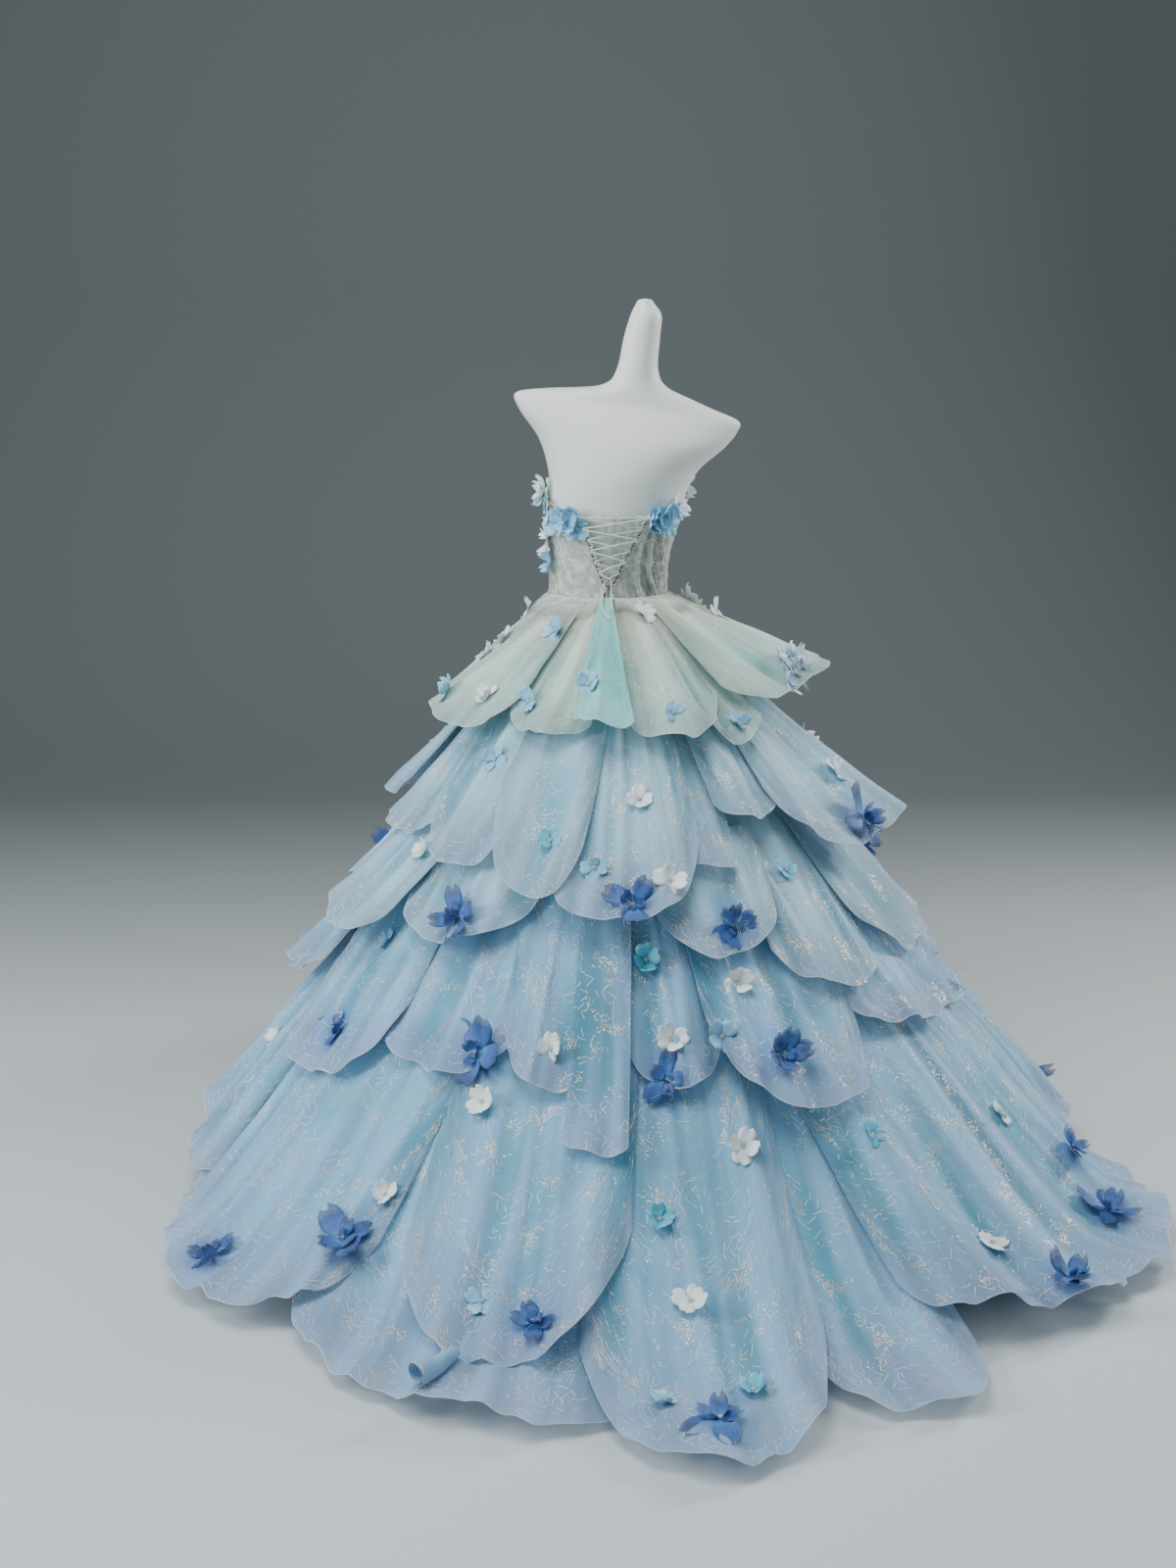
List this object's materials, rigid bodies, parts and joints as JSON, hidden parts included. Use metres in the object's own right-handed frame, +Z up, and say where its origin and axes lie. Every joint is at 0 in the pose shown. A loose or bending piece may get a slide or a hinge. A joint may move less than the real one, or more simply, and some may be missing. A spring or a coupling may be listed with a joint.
{
  "type": "ball gown on dress form",
  "caption": "Strapless lace-up ball gown with rows of rounded organza petals, blue fabric flowers and a train, on a white limbless dress form.",
  "frame": {"origin": "on the floor at the centre of the underside of the dress form's base plate", "axes": "+Z up; the wearer faces +Y; the laced back and the train point to -Y; +X is the wearer's right"},
  "size_m": [1.7594, 2.0168, 1.6042],
  "materials": {
    "organza_sage": "sheer sage organza with glitter",
    "organza_aqua": "sheer aqua organza",
    "organza_pale": "sheer pale blue organza with glitter and white twig embroidery",
    "organza_powder": "sheer powder blue organza with glitter and white twig embroidery",
    "bodice_lace": "grey-green glitter lace, boned",
    "lace_cord": "satin cord",
    "form_white": "smooth matt white",
    "stand_white": "satin white",
    "flower_white": "white fabric flower",
    "flower_light_blue": "light blue fabric flower",
    "flower_teal": "teal fabric flower",
    "flower_deep_blue": "deep blue semi-sheer fabric flower",
    "embroidery_white": "white embroidery thread",
    "bead_pearl": "pearl bead",
    "feather_white": "white feather strands"
  },
  "bodies": {
    "root": {"row1_back_left": "organza_sage", "row1_back_mid_left": "organza_sage", "row1_back_strip": "organza_aqua", "row1_back_mid_right": "organza_sage", "row1_back_drop": "organza_sage", "row1_back_right": "organza_sage", "row1_front_right": "organza_sage", "row1_front": "organza_sage", "row1_front_left": "organza_sage", "row2_left": "organza_pale", "row2_back_left": "organza_pale", "row2_centre_lap": "organza_pale", "row2_centre": "organza_pale", "row2_back_right": "organza_pale", "row2_lap_right": "organza_pale", "row2_right": "organza_pale", "row2_side_right": "organza_pale", "row2_front_right": "organza_pale", "row2_front_left": "organza_pale", "row2_side_left": "organza_pale", "row3_left": "organza_pale", "row3_back_left": "organza_pale", "row3_back_right": "organza_pale", "row3_lap_right": "organza_pale", "row3_right": "organza_pale", "row3_front_right": "organza_pale", "row3_front": "organza_pale", "row3_front_left": "organza_pale", "row4_left": "organza_powder", "row4_back_left": "organza_powder", "row4_centre_left": "organza_powder", "row4_centre_tail": "organza_powder", "row4_centre_right": "organza_powder", "row4_back_right": "organza_powder", "row4_right": "organza_powder", "row4_front_right": "organza_powder", "row4_front": "organza_powder", "row4_front_left": "organza_powder", "row5_side_left": "organza_powder", "row5_left": "organza_powder", "row5_back_left_under": "organza_powder", "row5_back_left": "organza_powder", "row5_centre": "organza_powder", "row5_back_right_under": "organza_powder", "row5_back_right": "organza_powder", "row5_right": "organza_powder", "row5_side_right": "organza_powder", "row5_front_right": "organza_powder", "row5_front_left": "organza_powder", "underskirt_back": "organza_aqua", "underskirt_front": "organza_aqua", "bodice_back_left": "bodice_lace", "bodice_back_right": "bodice_lace", "bodice_side_right": "bodice_lace", "bodice_front": "bodice_lace", "bodice_side_left": "bodice_lace", "bodice_modesty_panel": "bodice_lace", "back_lace": "lace_cord", "form_body": "form_white", "form_stand": "stand_white"}
  },
  "joints": []
}
